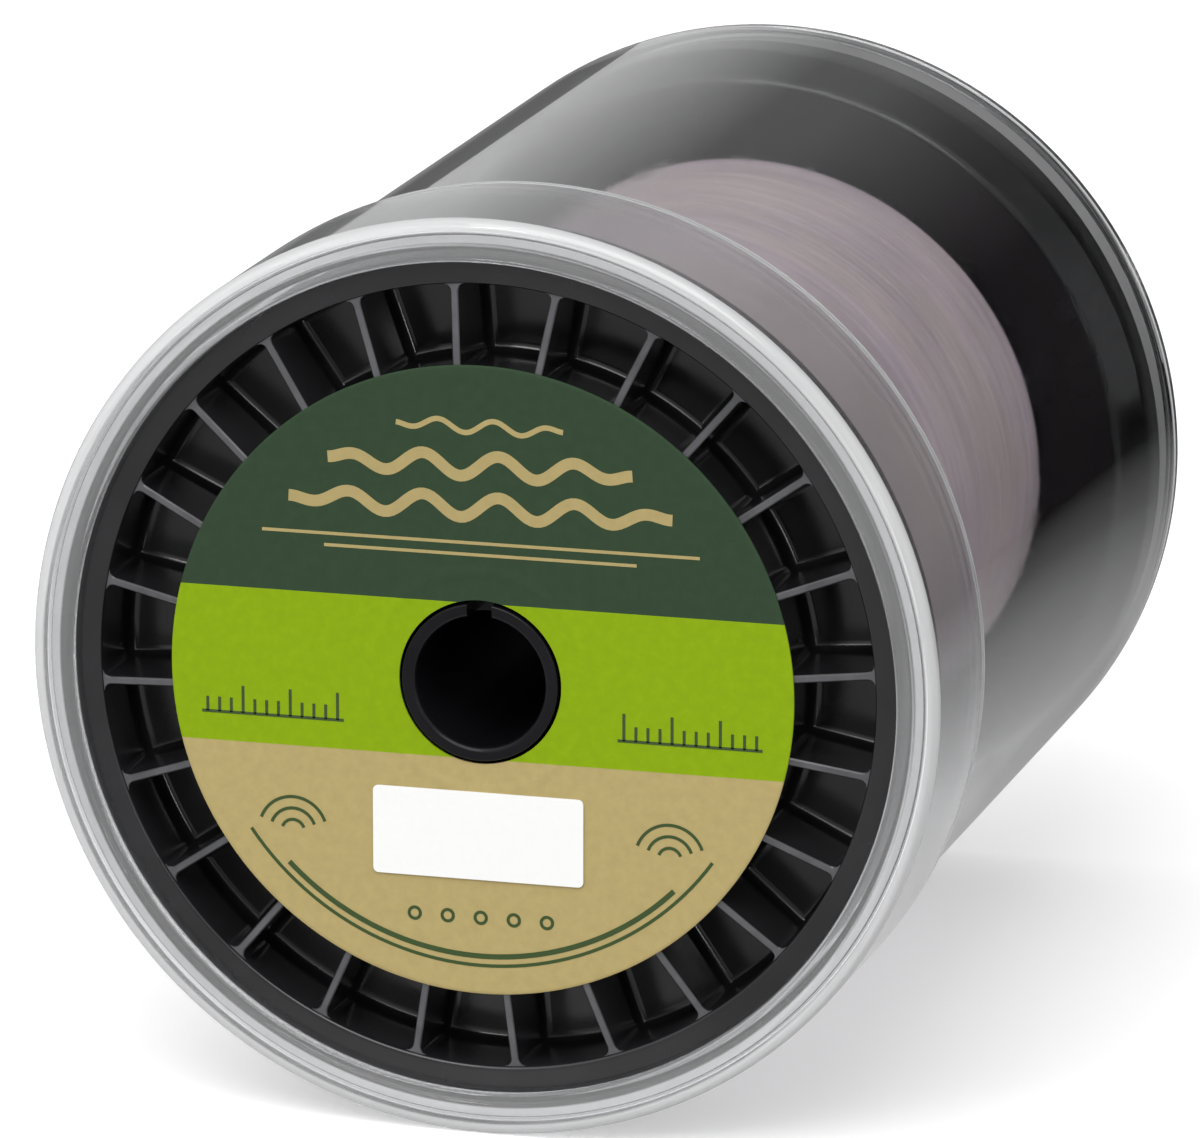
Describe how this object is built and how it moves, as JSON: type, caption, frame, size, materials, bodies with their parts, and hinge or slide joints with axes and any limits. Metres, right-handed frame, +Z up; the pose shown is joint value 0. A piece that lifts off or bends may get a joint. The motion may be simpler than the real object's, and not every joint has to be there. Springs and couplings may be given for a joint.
{
  "type": "fishing line spool",
  "caption": "Bulk spool of fishing line with ribbed flanges and a round label, turning inside a clear plastic sleeve with a pull-off front ring.",
  "frame": {"origin": "the middle of the cover, which is the middle of the whole part, on the spool's axis", "axes": "+Y along the spool's axis from the labelled front to the rear, +Z up with the part lying on its side and its label upright, +X to the right seen from the front"},
  "size_m": [0.0872, 0.107, 0.0872],
  "materials": {
    "black_moulding": "satin moulded black plastic",
    "black_tube": "smooth black plastic",
    "barrel_plastic": "plain dark plastic, hidden by the line",
    "line": "fine mauve-grey line, wound side by side",
    "label_paper": "semi-gloss printed paper in green, yellow-green and tan",
    "sticker_paper": "blank white paper",
    "clear_plastic": "clear glossy plastic"
  },
  "bodies": {
    "cover": {"cover_sleeve": "clear_plastic"},
    "front_ring": {"cover_front_ring": "clear_plastic"},
    "spool": {"front_flange": "black_moulding", "rear_flange": "black_moulding", "hub_tube": "black_tube", "barrel": "barrel_plastic", "line_core": "line", "line_turns": "line", "front_label": "label_paper", "size_sticker": "sticker_paper"}
  },
  "joints": [
    {"name": "spool_spin", "type": "hinge", "parent": "cover", "child": "spool", "pos_m": [0, 0, 0], "axis": [0, 1, 0], "continuous": true},
    {"name": "ring_pull", "type": "slide", "parent": "cover", "child": "front_ring", "axis": [0, -1, 0], "range_m": [0, 0.03]}
  ]
}
